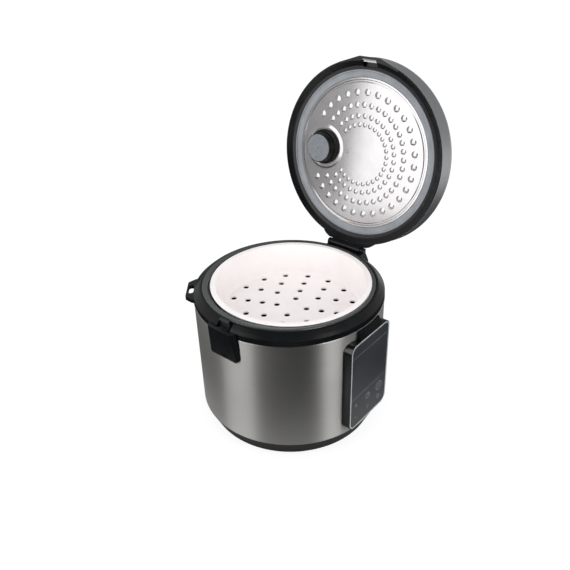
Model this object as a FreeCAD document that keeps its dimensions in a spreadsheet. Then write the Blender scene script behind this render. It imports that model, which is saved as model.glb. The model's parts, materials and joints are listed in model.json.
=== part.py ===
import FreeCAD, Part
import math
import os
import Sketcher

# Rice cooker with a hinged lid, drawn with the lid open.
# Millimetres, +Z up, origin on the body's axis at the floor, latch at -Y, hinge at +Y, control panel at +X.

Vector = FreeCAD.Vector
Rotation = FreeCAD.Rotation
Placement = FreeCAD.Placement

# Driving dimensions
SIZE_ROWS = [
    # feet and base
    ("foot_radius", 7.5),
    ("foot_height", 3.0),
    ("foot_circle", 88.0),
    ("foot_stem", 2.5),
    ("foot_stem_top", 7.5),
    ("base_low_radius", 110.3),
    ("base_round", 4.0),
    ("base_wall", 2.5),
    ("base_top", 26.5),
    ("tongue_top", 31.5),
    ("vent_inner", 12.0),
    ("vent_outer", 30.0),
    ("vent_width", 3.5),
    ("screw_circle", 95.0),
    ("screw_post", 5.0),
    ("screw_post_top", 35.9),
    ("screw_shank", 2.0),
    ("screw_head", 4.0),
    ("screw_seat", 6.0),
    ("screw_tip", 39.5),
    ("fit_gap", 0.05),
    # steel sleeve
    ("body_radius", 121.0),
    ("sleeve_wall", 0.6),
    ("sleeve_top", 177.2),
    ("bead_rise", 0.5),
    # top collar
    ("collar_lip_top", 184.8),
    ("collar_top", 192.0),
    ("collar_bore", 110.9),
    ("collar_wall", 2.4),
    ("collar_skirt", 170.0),
    ("ledge_height", 189.2),
    ("ledge_bore", 103.5),
    ("ledge_under", 186.5),
    ("notch_half", 10.5),
    ("notch_back", 111.9),
    ("notch_floor", 181.5),
    # eye for the spoon holder, on the collar
    ("eye_angle", 220.0),
    ("eye_reach", 130.3),
    ("eye_root_half", 26.0),
    ("eye_half", 17.0),
    ("eye_low", 178.0),
    ("eye_thickness", 5.0),
    ("eye_slot_inner", 121.2),
    ("eye_slot_outer", 128.4),
    ("eye_slot_half", 9.5),
    # lid release
    ("button_top", 186.5),
    ("button_low", 144.5),
    ("button_front", 128.3),
    ("button_toe", 122.6),
    ("button_half_front", 16.4),
    ("button_half_root", 25.5),
    ("button_wall", 2.1),
    ("lever_y", 113.5),
    ("lever_z", 152.0),
    ("lever_pin", 1.5),
    ("lever_half", 4.0),
    ("ear_inner", 9.2),
    ("ear_outer", 12.0),
    ("hook_half", 7.0),
    ("hook_top", 195.8),
    ("hook_back", 114.7),
    ("hook_tip", 118.3),
    # inner liner and heater
    ("liner_radius", 107.3),
    ("liner_wall", 0.8),
    ("liner_floor", 36.0),
    ("liner_hole", 66.0),
    ("heater_radius", 88.0),
    ("heater_low", 42.0),
    ("heater_top", 54.6),
    ("heater_hole", 19.0),
    ("heater_foot_circle", 76.0),
    ("heater_foot", 6.0),
    ("element_circle", 62.0),
    ("element_tube", 4.2),
    ("element_sweep", 320.0),
    ("sensor_radius", 17.5),
    ("sensor_top", 54.7),
    ("sensor_skirt", 39.0),
    ("sensor_wall", 1.0),
    ("holder_radius", 22.0),
    ("holder_floor", 24.0),
    # pot and steamer tray
    ("pot_inner", 100.0),
    ("pot_wall", 2.0),
    ("pot_floor", 55.0),
    ("pot_corner", 24.0),
    ("pot_rim_top", 192.7),
    ("pot_rim_radius", 110.0),
    ("pot_rim_low", 190.0),
    ("pot_rim_slope", 0.9),
    ("pot_lip", 188.8),
    ("pot_lip_width", 3.4),
    ("tray_rim_radius", 102.0),
    ("tray_rim_top", 193.9),
    ("tray_rim_thickness", 1.5),
    ("tray_wall_top", 96.3),
    ("tray_wall_low", 90.5),
    ("tray_floor", 151.5),
    ("tray_thickness", 1.8),
    ("tray_hole", 3.9),
    ("tray_ring_step", 20.0),
    ("tray_turn", 22.5),
    ("tray_shift_x", 2.6),
    ("tray_shift_y", 1.0),
    # control panel
    ("panel_front", 125.8),
    ("panel_half_width", 41.2),
    ("panel_low", 36.0),
    ("panel_high", 165.2),
    ("panel_round", 11.0),
    ("panel_border", 1.2),
    ("trim_width", 1.5),
    ("panel_recess", 123.7),
    ("panel_back", 112.0),
    ("neck_half", 21.0),
    ("neck_front", 122.4),
    ("neck_top", 176.9),
    ("tub_half", 28.0),
    ("tub_low", 47.0),
    ("tub_high", 148.0),
    ("tub_back", 108.6),
    ("tub_wall", 1.6),
    ("board_thickness", 1.6),
    # hinge
    ("hinge_y", 127.5),
    ("hinge_z", 187.5),
    ("lid_open_angle", 99.0),
    ("hinge_pin", 2.0),
    ("hinge_half", 29.3),
    ("knuckle_half", 24.0),
    ("knuckle_radius", 6.0),
    ("bracket_ear", 4.6),
    ("spring_half", 10.2),
    ("spring_room", 4.7),
    ("bracket_half", 35.0),
    ("bracket_shoulder", 174.0),
    ("bracket_root", 117.0),
    ("bracket_low", 160.0),
    # lid, in its closed place
    ("frame_outer", 121.0),
    ("frame_inner", 108.3),
    ("frame_edge", 187.5),
    ("frame_seat", 188.5),
    ("frame_top", 201.0),
    ("frame_under", 193.0),
    ("frame_bend", 113.0),
    ("cover_low", 188.6),
    ("cover_radius", 121.2),
    ("cover_bulge", 122.9),
    ("cover_shoulder", 217.5),
    ("cover_crown", 228.5),
    ("cover_wall", 1.8),
    ("crown_bend", 70.0),
    ("crown_bend_z", 226.0),
    ("nose_front", 123.5),
    ("nose_half", 15.0),
    ("nose_root", 44.0),
    ("nose_root_y", 112.9),
    ("nose_bend", 8.0),
    ("nose_top", 208.0),
    ("recess_half", 10.7),
    ("recess_front", 120.6),
    ("recess_back", 110.6),
    ("recess_top", 198.0),
    ("keeper_front", 118.7),
    ("keeper_back", 117.0),
    ("keeper_low", 191.2),
    ("keeper_thickness", 1.4),
    ("catch_half", 14.0),
    ("catch_front", 118.0),
    ("catch_low", 193.8),
    ("catch_height", 6.2),
    ("arm_root", 108.0),
    ("arm_half", 41.0),
    ("arm_shoulder", 115.2),
    ("arm_waist", 36.5),
    ("arm_bend", 119.2),
    ("arm_neck", 31.0),
    ("arm_end", 122.0),
    ("arm_height", 7.3),
    ("gasket_outer", 108.0),
    ("gasket_inner", 98.6),
    ("gasket_lip", 192.9),
    ("gasket_top", 199.0),
    ("plate_radius", 98.2),
    ("plate_under", 195.4),
    ("plate_thickness", 1.0),
    ("valve_offset", 59.0),
    ("valve_base", 23.4),
    ("valve_neck", 19.6),
    ("valve_face", 19.0),
    ("valve_low", 179.4),
    ("valve_bore", 12.0),
    ("valve_hole", 16.0),
    ("valve_rim", 31.0),
    ("rivet_offset", 21.7),
    ("vent_radius", 24.1),
    ("vent_plug", 20.1),
    ("vent_seat", 220.5),
    # boards and other parts inside
    ("post_x", 36.0),
    ("post_front", 71.0),
    ("post_back", 29.0),
    ("post_radius", 3.0),
    ("power_board_half", 40.0),
    ("power_board_front", 75.0),
    ("power_board_back", 25.0),
    ("power_board_low", 14.0),
    ("relay_x", 34.0),
    ("relay_y", 62.0),
    ("relay_length", 19.0),
    ("relay_width", 16.0),
    ("relay_height", 15.4),
    ("transformer_x", 2.0),
    ("transformer_y", 66.0),
    ("transformer_length", 32.0),
    ("transformer_width", 28.0),
    ("transformer_height", 17.4),
    ("fuse_radius", 2.1),
    ("fuse_length", 12.0),
    ("fuse_x", 40.0),
    ("control_board_back", 112.0),
    ("control_board_half", 25.6),
    ("control_board_low", 50.0),
    ("control_board_high", 145.0),
    ("display_front", 123.3),
    ("display_half", 22.0),
    ("display_low", 86.0),
    ("display_high", 144.0),
    ("heater_screw", 1.5),
    ("heater_screw_head", 3.2),
    ("heater_screw_rise", 2.2),
    # power inlet in the base
    ("inlet_half", 16.0),
    ("inlet_low", 7.0),
    ("inlet_high", 25.6),
    ("inlet_face", 116.5),
    ("inlet_back", 97.0),
    ("socket_half", 12.0),
    ("socket_low", 8.6),
    ("socket_high", 24.2),
    ("socket_depth", 15.5),
]

# Dimples pressed in the inner lid plate: circle radius, dimple radius, dimple height, count, arc in degrees
DIMPLE_RINGS = [
    (80.0, 4.5, 1.6, 27, 294.4),
    (64.4, 3.9, 1.4, 30, 284.6),
    (50.4, 3.5, 1.3, 25, 272.6),
    (39.2, 3.1, 1.2, 24, 272.6),
]

doc = FreeCAD.newDocument("RiceCooker")
sheet = doc.addObject("Spreadsheet::Sheet", "Sizes")
sizes = {}
for row, (alias, value) in enumerate(SIZE_ROWS, start=1):
    sheet.set(f"A{row}", alias)
    sheet.set(f"B{row}", str(value))
    sheet.setAlias(f"B{row}", alias)
    sizes[alias] = value
doc.recompute()


def terms(text):
    """The signed terms of a sum of sizes, such as 'body_radius - 2*sleeve_wall'."""
    sign = 1.0
    for word in text.split():
        if word == "+":
            sign = 1.0
        elif word == "-":
            sign = -1.0
        else:
            yield sign, word.split("*")
            sign = 1.0


def amount(text):
    """The value of a sum of sizes, in millimetres or degrees."""
    total = 0.0
    for sign, factors in terms(text):
        product = sign
        for factor in factors:
            if factor.lstrip("-") in sizes:
                product *= sizes[factor.lstrip("-")] * (-1 if factor.startswith("-") else 1)
            else:
                product *= float(factor)
        total += product
    return total


def formula(text):
    """The same sum as an expression on the sheet's cells, or None where it names no cell."""
    parts = []
    named = False
    for sign, factors in terms(text):
        words = []
        for factor in factors:
            bare = factor.lstrip("-")
            if bare in sizes:
                named = True
                words.append(("-" if factor.startswith("-") else "") + "Sizes." + bare)
            else:
                words.append(f"({factor})")
        parts.append(("- " if sign < 0 else "+ ") + " * ".join(words))
    return "0 " + " ".join(parts) if named else None


def bind(thing, slot, text):
    """Ties one property or constraint of a feature to the sheet."""
    wanted = formula(text)
    if wanted:
        thing.setExpression(slot, wanted)


# Bodies, sketches and features
pieces = []


def new_body(label):
    body = doc.addObject("PartDesign::Body", label)
    body.Label = label
    pieces.append(body)
    return body


def origin_part(body, role):
    return [feature for feature in body.Origin.OriginFeatures if feature.Role == role][0]


def new_sketch(body, role, lift="0", shift=0.0, turn=0.0):
    """A sketch on one of the body's origin planes, moved along the plane's normal and turned in it."""
    sketch = body.newObject("Sketcher::SketchObject", body.Label + "_sketch")
    sketch.AttachmentSupport = [(origin_part(body, role), "")]
    sketch.MapMode = "FlatFace"
    turned = Rotation(Vector(0, 0, 1), turn)
    sketch.AttachmentOffset = Placement(Vector(shift, 0, amount(lift)), turned)
    bind(sketch, "AttachmentOffset.Base.z", lift)
    return sketch


def pin_point(sketch, index, point, x, y):
    """Fixes one point of a sketch at the sizes x and y."""
    for kind, text in (("DistanceX", x), ("DistanceY", y)):
        constraint = sketch.addConstraint(Sketcher.Constraint(kind, index, point, amount(text)))
        bind(sketch, f"Constraints[{constraint}]", text)


def outline(sketch, corners):
    """A closed outline through corners (x, y) or (x, y, round), each a sum of sizes."""
    count = len(corners)
    spots = [Vector(amount(c[0]), amount(c[1]), 0) for c in corners]
    rounds = [amount(c[2]) if len(c) > 2 else 0.0 for c in corners]
    touches = []
    centres = []
    for i in range(count):
        back = (spots[i - 1] - spots[i]).normalize()
        ahead = (spots[(i + 1) % count] - spots[i]).normalize()
        half = back.getAngle(ahead) / 2
        reach = rounds[i] / math.tan(half)
        touches.append((spots[i] + back * reach, spots[i] + ahead * reach))
        inward = (back + ahead).normalize() if rounds[i] else Vector(0, 0, 0)
        centres.append(spots[i] + inward * (rounds[i] / math.sin(half)))
    lines = []
    for i in range(count):
        lines.append(sketch.addGeometry(Part.LineSegment(touches[i][1], touches[(i + 1) % count][0])))
    for i in range(count):
        before = lines[i - 1]
        after = lines[i]
        if not rounds[i]:
            sketch.addConstraint(Sketcher.Constraint("Coincident", before, 2, after, 1))
            pin_point(sketch, after, 1, corners[i][0], corners[i][1])
            continue
        # a sketch arc runs counter-clockwise, so at a right-hand bend its start is on the line after it
        left_hand = (spots[i] - spots[i - 1]).cross(spots[(i + 1) % count] - spots[i]).z > 0
        first, last = (1, 2) if left_hand else (2, 1)
        rays = [touch - centres[i] for touch in touches[i]]
        angles = [math.atan2(ray.y, ray.x) for ray in (rays if left_hand else reversed(rays))]
        if angles[1] < angles[0]:
            angles[1] += 2 * math.pi
        whole = Part.Circle(centres[i], Vector(0, 0, 1), rounds[i])
        arc = sketch.addGeometry(Part.ArcOfCircle(whole, *angles))
        sketch.addConstraint(Sketcher.Constraint("Coincident", before, 2, arc, first))
        sketch.addConstraint(Sketcher.Constraint("Coincident", arc, last, after, 1))
        bend = sketch.addConstraint(Sketcher.Constraint("Radius", arc, rounds[i]))
        bind(sketch, f"Constraints[{bend}]", corners[i][2])
        for point, touch in ((first, touches[i][0]), (last, touches[i][1])):
            aside = touch - spots[i]
            x = f"{corners[i][0]} + {aside.x:.6f}"
            y = f"{corners[i][1]} + {aside.y:.6f}"
            pin_point(sketch, arc, point, x, y)


def rectangle(sketch, x_low, y_low, x_high, y_high, bend="0"):
    corner = [(x_low, y_low), (x_high, y_low), (x_high, y_high), (x_low, y_high)]
    outline(sketch, [c + (bend,) for c in corner] if amount(bend) else corner)


def circle(sketch, x, y, radius):
    spot = Vector(amount(x), amount(y), 0)
    index = sketch.addGeometry(Part.Circle(spot, Vector(0, 0, 1), amount(radius)))
    pin_point(sketch, index, 3, x, y)
    size = sketch.addConstraint(Sketcher.Constraint("Radius", index, amount(radius)))
    bind(sketch, f"Constraints[{size}]", radius)


def solid_volume(body):
    doc.recompute()
    return body.Shape.Volume


def add_feature(body, kind, sketch, cut):
    """Adds a feature on a sketch and returns it with the body's volume before it."""
    before = solid_volume(body) if cut else 0.0
    feature = body.newObject("PartDesign::" + kind, body.Label + "_" + kind.lower())
    feature.Profile = (sketch, [""])
    return feature, before


def check_cut(body, before):
    """A cut has to take material away."""
    if not solid_volume(body) < before - 0.01:
        raise ValueError("a cut missed " + body.Label)


def revolve(body, sketch, angle="360"):
    feature, _ = add_feature(body, "Revolution", sketch, False)
    feature.ReferenceAxis = (sketch, ["V_Axis"])
    feature.Angle = amount(angle)
    bind(feature, "Angle", angle)
    return feature


def groove(body, sketch):
    feature, before = add_feature(body, "Groove", sketch, True)
    feature.ReferenceAxis = (sketch, ["V_Axis"])
    feature.Angle = 360
    check_cut(body, before)
    return feature


def pad(body, sketch, length, middle=False, back=False, taper=0.0):
    feature, _ = add_feature(body, "Pad", sketch, False)
    feature.Length = amount(length)
    bind(feature, "Length", length)
    feature.SideType = "Symmetric" if middle else "One side"
    feature.Reversed = back
    feature.TaperAngle = taper
    return feature


def pocket(body, sketch, length, middle=False, back=False):
    feature, before = add_feature(body, "Pocket", sketch, True)
    feature.Length = amount(length)
    bind(feature, "Length", length)
    feature.SideType = "Symmetric" if middle else "One side"
    feature.Reversed = back
    check_cut(body, before)
    return feature


def ring_of(body, features, count, angle=360.0):
    """Repeats features round the body's own Z axis."""
    doc.recompute()
    pattern = body.newObject("PartDesign::PolarPattern", body.Label + "_ring")
    pattern.Originals = features
    pattern.Axis = (origin_part(body, "Z_Axis"), [""])
    pattern.Angle = angle
    pattern.Occurrences = count
    body.Tip = pattern
    doc.recompute()
    return pattern


def turned(label, corners):
    """A body of revolution about Z from one closed profile of radius and height."""
    body = new_body(label)
    sketch = new_sketch(body, "XZ_Plane")
    outline(sketch, corners)
    revolve(body, sketch)
    return body


def block(label, x_low, x_high, y_low, y_high, z_low, height):
    """A plain rectangular piece between named faces, standing on z_low."""
    body = new_body(label)
    sketch = new_sketch(body, "XY_Plane", z_low)
    rectangle(sketch, x_low, y_low, x_high, y_high)
    pad(body, sketch, height)
    return body


def on_circle(radius, angle):
    """The x and y of a point on a circle, as sums of sizes."""
    turn = math.radians(angle)
    return f"{math.cos(turn):.6f}*{radius}", f"{math.sin(turn):.6f}*{radius}"


def clear_of_sleeve(body):
    """Cuts a piece that stands against the sleeve to its round, with a relief for the sleeve's bead."""
    sketch = new_sketch(body, "XZ_Plane")
    outline(sketch, [
        ("0", "base_top"),
        ("body_radius + fit_gap", "base_top"),
        ("body_radius + fit_gap", "sleeve_top - 2.1"),
        ("body_radius + bead_rise + fit_gap", "sleeve_top - 1.6"),
        ("body_radius + bead_rise + fit_gap", "sleeve_top - 0.2"),
        ("body_radius + fit_gap", "sleeve_top + 0.3"),
        ("body_radius + fit_gap", "collar_top + 10"),
        ("0", "collar_top + 10"),
    ])
    groove(body, sketch)


# Feet: four moulded rubber feet pressed into the base
feet = new_body("rubber_feet")
sketch = new_sketch(feet, "XY_Plane")
circle(sketch, *on_circle("foot_circle", 45), "foot_radius")
foot = pad(feet, sketch, "foot_height")
ring_of(feet, [foot], 4)
sketch = new_sketch(feet, "XY_Plane", "foot_height")
circle(sketch, *on_circle("foot_circle", 45), "foot_stem")
stem = pad(feet, sketch, "foot_stem_top - foot_height")
ring_of(feet, [stem], 4)

# Base pan: one moulding with a tongue inside the sleeve, posts for the board and for three long screws
tongue_radius = "body_radius - sleeve_wall - 0.1"
tongue_bore = "body_radius - sleeve_wall - base_wall"
base = turned("base_pan", [
    ("0", "foot_height"),
    ("base_low_radius", "foot_height", "base_round"),
    ("body_radius", "base_top"),
    (tongue_radius, "base_top"),
    (tongue_radius, "tongue_top"),
    (tongue_bore, "tongue_top"),
    (tongue_bore, "base_top - 0.5"),
    ("base_low_radius - base_wall", "foot_height + base_wall", "2"),
    ("0", "foot_height + base_wall"),
])
sketch = new_sketch(base, "XY_Plane", "foot_height + 1")
for x in ("-post_x", "post_x"):
    for y in ("-post_front", "-post_back"):
        circle(sketch, x, y, "post_radius")
pad(base, sketch, "power_board_low - foot_height - 1")
sketch = new_sketch(base, "XY_Plane", "foot_height + 1")
circle(sketch, *on_circle("screw_circle", 30), "screw_post")
post = pad(base, sketch, "screw_post_top - foot_height - 1")
ring_of(base, [post], 3)
sketch = new_sketch(base, "XY_Plane", "foot_height")
circle(sketch, *on_circle("screw_circle", 30), "screw_head + 0.3")
seat = pocket(base, sketch, "screw_seat - foot_height", back=True)
ring_of(base, [seat], 3)
sketch = new_sketch(base, "XY_Plane", "foot_height")
circle(sketch, *on_circle("screw_circle", 30), "screw_shank + fit_gap")
bore = pocket(base, sketch, "screw_tip", back=True)
ring_of(base, [bore], 3)
sketch = new_sketch(base, "XY_Plane", "foot_height")
circle(sketch, *on_circle("foot_circle", 45), "foot_stem + fit_gap")
bore = pocket(base, sketch, "base_wall + 0.5", back=True)
ring_of(base, [bore], 4)
sketch = new_sketch(base, "XY_Plane", "foot_height")
rectangle(sketch, "vent_inner", "-0.5*vent_width", "vent_outer", "0.5*vent_width")
slot = pocket(base, sketch, "base_wall + 0.5", back=True)
ring_of(base, [slot], 12)
sketch = new_sketch(base, "XZ_Plane", "-90")
rectangle(sketch, "-inlet_half - 0.1", "inlet_low - 0.1", "inlet_half + 0.1", "inlet_high + 0.1")
pocket(base, sketch, "40")

# Long screws from below that hold the base to the liner
screws = new_body("base_screws")
sketch = new_sketch(screws, "XY_Plane", "screw_seat - 2.5")
circle(sketch, *on_circle("screw_circle", 30), "screw_head")
head = pad(screws, sketch, "2.5")
ring_of(screws, [head], 3)
sketch = new_sketch(screws, "XY_Plane", "screw_seat")
circle(sketch, *on_circle("screw_circle", 30), "screw_shank")
shank = pad(screws, sketch, "screw_tip - screw_seat")
ring_of(screws, [shank], 3)

# Outer sleeve: a rolled steel band with a beaded top edge, open behind the panel and the release lever
sleeve = turned("outer_sleeve", [
    ("body_radius - sleeve_wall", "base_top"),
    ("body_radius", "base_top"),
    ("body_radius", "sleeve_top - 1.8"),
    ("body_radius + bead_rise", "sleeve_top - 1.3"),
    ("body_radius + bead_rise", "sleeve_top - 0.5"),
    ("body_radius", "sleeve_top"),
    ("body_radius - sleeve_wall", "sleeve_top"),
])
sketch = new_sketch(sleeve, "YZ_Plane", "100")
rectangle(sketch, "-tub_half - 1", "tub_low - 1", "tub_half + 1", "tub_high + 1", "2")
pocket(sleeve, sketch, "30", back=True)
sketch = new_sketch(sleeve, "XZ_Plane", "100")
rectangle(sketch, "-9", "lever_z - 6", "9", "lever_z + 7", "1")
pocket(sleeve, sketch, "30", back=True)

# Top collar: a moulded ring that carries the pot, with an eye for the spoon holder and ears for the lever
skirt_bore = "body_radius - sleeve_wall - 0.1 - collar_wall"
collar = turned("top_collar", [
    ("body_radius", "sleeve_top"),
    ("body_radius", "collar_lip_top", "0.5"),
    ("body_radius - 3.4", "collar_lip_top + 3.1", "3"),
    ("body_radius - 7.6", "collar_top - 0.6", "1.5"),
    ("collar_bore + 1.2", "collar_top"),
    ("collar_bore", "collar_top"),
    ("collar_bore", "ledge_height"),
    ("ledge_bore", "ledge_height"),
    ("ledge_bore", "ledge_under"),
    ("collar_bore + 2.6", "ledge_under"),
    (skirt_bore, "sleeve_top + 3.8"),
    (skirt_bore, "collar_skirt"),
    (tongue_radius, "collar_skirt"),
    (tongue_radius, "sleeve_top"),
])
sketch = new_sketch(collar, "XY_Plane", "eye_low", turn=amount("eye_angle"))
outline(sketch, [
    ("body_radius - 2.5", "-eye_root_half"),
    ("body_radius + 1", "-eye_root_half + 1.5", "3"),
    ("eye_reach", "-eye_half", "4"),
    ("eye_reach", "eye_half", "4"),
    ("body_radius + 1", "eye_root_half - 1.5", "3"),
    ("body_radius - 2.5", "eye_root_half"),
])
pad(collar, sketch, "eye_thickness")
sketch = new_sketch(collar, "XY_Plane", "eye_low", turn=amount("eye_angle"))
rectangle(sketch, "eye_slot_inner", "-eye_slot_half", "eye_slot_outer", "eye_slot_half", "3.4")
pocket(collar, sketch, "eye_thickness + 0.5", back=True)
sketch = new_sketch(collar, "XY_Plane", "collar_top + 8")
rectangle(sketch, "-notch_half", "-body_radius - 5", "notch_half", "-notch_back")
pocket(collar, sketch, "collar_top + 8 - notch_floor")
for ear_face in ("ear_inner", "-ear_outer"):
    sketch = new_sketch(collar, "YZ_Plane", ear_face)
    outline(sketch, [
        ("-lever_y - 5.7", "lever_z - 6", "2"),
        ("-lever_y + 2.9", "lever_z - 6", "2"),
        ("-lever_y + 2.9", "lever_z + 20"),
        ("-lever_y - 2.5", "notch_floor - 1.5"),
        ("-lever_y - 5.7", "notch_floor - 1.5"),
    ])
    pad(collar, sketch, "ear_outer - ear_inner")
sketch = new_sketch(collar, "YZ_Plane")
circle(sketch, "-lever_y", "lever_z", "lever_pin + fit_gap")
pocket(collar, sketch, "40", middle=True)

# Hinge bracket: a moulding behind the collar with two outer ears on a wider foot
bracket = new_body("hinge_bracket")
sketch = new_sketch(bracket, "YZ_Plane")
outline(sketch, [
    ("bracket_root", "bracket_low"),
    ("hinge_y - 4", "bracket_low", "3"),
    ("hinge_y + 3", "bracket_shoulder", "5"),
    ("hinge_y + bracket_ear", "hinge_z + bracket_ear", "bracket_ear - 0.9"),
    ("hinge_y - bracket_ear", "hinge_z + bracket_ear", "bracket_ear - 0.9"),
    ("hinge_y - bracket_ear", "hinge_z - 2.1"),
    ("bracket_root", "hinge_z - 2.1"),
])
pad(bracket, sketch, "2*bracket_half", middle=True)
clear_of_sleeve(bracket)
sketch = new_sketch(bracket, "XZ_Plane", "-arm_root")
outline(sketch, [
    ("hinge_half", "hinge_z + 10"),
    ("hinge_half", "hinge_z - 3", "3"),
    ("bracket_half + 0.5", "bracket_shoulder"),
    ("bracket_half + 0.5", "hinge_z + 10"),
])
outline(sketch, [
    ("-hinge_half", "hinge_z + 10"),
    ("-bracket_half - 0.5", "hinge_z + 10"),
    ("-bracket_half - 0.5", "bracket_shoulder"),
    ("-hinge_half", "hinge_z - 3", "3"),
])
pocket(bracket, sketch, "35")
sketch = new_sketch(bracket, "XZ_Plane", "-arm_root")
rectangle(
    sketch, "-knuckle_half - 0.4", "hinge_z - knuckle_radius - 0.7",
    "knuckle_half + 0.4", "hinge_z + 10",
)
pocket(bracket, sketch, "35")
sketch = new_sketch(bracket, "YZ_Plane")
circle(sketch, "hinge_y", "hinge_z", "hinge_pin + fit_gap")
pocket(bracket, sketch, "3*hinge_half", middle=True)

pin = new_body("hinge_pin")
sketch = new_sketch(pin, "YZ_Plane")
circle(sketch, "hinge_y", "hinge_z", "hinge_pin")
pad(pin, sketch, "2*hinge_half - 0.2", middle=True)

# Inner liner: a deep-drawn can hung from the collar's ledge
liner_bore = "liner_radius - liner_wall"
liner = turned("inner_liner", [
    ("liner_radius + 4.5", "ledge_under - 0.1"),
    (liner_bore, "ledge_under - 0.1"),
    (liner_bore, "liner_floor + liner_wall", "8"),
    ("liner_hole", "liner_floor + liner_wall"),
    ("liner_hole", "liner_floor"),
    ("liner_radius", "liner_floor", "8.8"),
    ("liner_radius", "ledge_under - 0.9"),
    ("liner_radius + 4.5", "ledge_under - 0.9"),
])
for hole_circle, first_angle, hole_radius in (
    ("screw_circle", 30, "screw_shank + fit_gap"),
    ("heater_foot_circle", 90, "heater_screw + 0.2"),
):
    sketch = new_sketch(liner, "XY_Plane", "liner_floor")
    circle(sketch, *on_circle(hole_circle, first_angle), hole_radius)
    bore = pocket(liner, sketch, "liner_wall + 0.5", back=True)
    ring_of(liner, [bore], 3)

# Heating plate: an aluminium casting with the element in a channel below and a hole for the sensor
heater = turned("heating_plate", [
    ("heater_hole", "heater_low"),
    ("element_circle - element_tube - 0.3", "heater_low"),
    ("element_circle - element_tube - 0.3", "heater_low + element_tube + 0.3"),
    ("element_circle + element_tube + 0.3", "heater_low + element_tube + 0.3"),
    ("element_circle + element_tube + 0.3", "heater_low"),
    ("heater_radius", "heater_low"),
    ("heater_radius", "heater_top - 1.2"),
    ("heater_radius - 2", "heater_top"),
    ("heater_hole", "heater_top"),
])
sketch = new_sketch(heater, "XY_Plane", "liner_floor + liner_wall")
circle(sketch, *on_circle("heater_foot_circle", 90), "heater_foot")
leg = pad(heater, sketch, "heater_low - liner_floor - liner_wall")
ring_of(heater, [leg], 3)
sketch = new_sketch(heater, "XY_Plane", "liner_floor + liner_wall")
circle(sketch, *on_circle("heater_foot_circle", 90), "heater_screw + fit_gap")
bore = pocket(heater, sketch, "10", back=True)
ring_of(heater, [bore], 3)

element = new_body("heating_element")
sketch = new_sketch(element, "XZ_Plane")
circle(sketch, "element_circle", "heater_low + 0.2", "element_tube")
revolve(element, sketch, "element_sweep")
for end_angle in (2.5, amount("element_sweep") - 2.5):
    sketch = new_sketch(element, "XY_Plane", "heater_low - 14")
    circle(sketch, *on_circle("element_circle", end_angle), "2")
    pad(element, sketch, "14")

heater_screws = new_body("heater_screws")
sketch = new_sketch(heater_screws, "XY_Plane", "liner_floor - heater_screw_rise")
circle(sketch, *on_circle("heater_foot_circle", 90), "heater_screw_head")
head = pad(heater_screws, sketch, "heater_screw_rise")
ring_of(heater_screws, [head], 3)
sketch = new_sketch(heater_screws, "XY_Plane", "liner_floor")
circle(sketch, *on_circle("heater_foot_circle", 90), "heater_screw")
shank = pad(heater_screws, sketch, "9")
ring_of(heater_screws, [shank], 3)

# Pot sensor: a sprung aluminium cup in a pressed holder under the plate
turned("sensor_holder", [
    ("0", "holder_floor"),
    ("holder_radius", "holder_floor"),
    ("holder_radius", "heater_low - 1"),
    ("holder_radius + 7", "heater_low - 1"),
    ("holder_radius + 7", "heater_low"),
    ("holder_radius - 1", "heater_low"),
    ("holder_radius - 1", "holder_floor + 1"),
    ("0", "holder_floor + 1"),
])
turned("sensor_cup", [
    ("0", "sensor_top"),
    ("sensor_radius", "sensor_top", "1.5"),
    ("sensor_radius", "sensor_skirt"),
    ("sensor_radius - sensor_wall", "sensor_skirt"),
    ("sensor_radius - sensor_wall", "sensor_top - sensor_wall", "0.5"),
    ("0", "sensor_top - sensor_wall"),
])
turned("thermistor", [
    ("0", "sensor_top - sensor_wall - 6"),
    ("3.5", "sensor_top - sensor_wall - 6", "1"),
    ("3.5", "sensor_top - sensor_wall"),
    ("0", "sensor_top - sensor_wall"),
])
fuse = new_body("thermal_fuse")
sketch = new_sketch(fuse, "YZ_Plane", "fuse_x")
circle(sketch, "0", "heater_low - fuse_radius", "fuse_radius")
pad(fuse, sketch, "fuse_length", middle=True)

# Power parts on the base
board_top = "power_board_low + board_thickness"
block(
    "power_board", "-power_board_half", "power_board_half",
    "-power_board_front", "-power_board_back", "power_board_low", "board_thickness",
)
block(
    "power_relay", "-relay_x", "-relay_x + relay_length",
    "-relay_y", "-relay_y + relay_width", board_top, "relay_height",
)
block(
    "power_transformer", "transformer_x", "transformer_x + transformer_length",
    "-transformer_y", "-transformer_y + transformer_width", board_top, "transformer_height",
)

# Power inlet: an open socket in the rear of the base with three flat pins
inlet = new_body("power_inlet")
sketch = new_sketch(inlet, "XZ_Plane", "-inlet_face")
rectangle(sketch, "-inlet_half", "inlet_low", "inlet_half", "inlet_high", "2")
pad(inlet, sketch, "inlet_face - inlet_back")
sketch = new_sketch(inlet, "XZ_Plane", "-inlet_face")
outline(sketch, [
    ("-socket_half", "socket_low"),
    ("socket_half", "socket_low"),
    ("socket_half", "socket_high - 4"),
    ("socket_half - 4", "socket_high"),
    ("-socket_half + 4", "socket_high"),
    ("-socket_half", "socket_high - 4"),
])
pocket(inlet, sketch, "socket_depth", back=True)
pins = new_body("inlet_pins")
sketch = new_sketch(pins, "XZ_Plane", "socket_depth - inlet_face")
for x, z in (("-7", "14"), ("7", "14"), ("0", "18")):
    rectangle(sketch, f"{x} - 1", f"{z} - 2", f"{x} + 1", f"{z} + 2")
pad(pins, sketch, "10", back=True)

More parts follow.
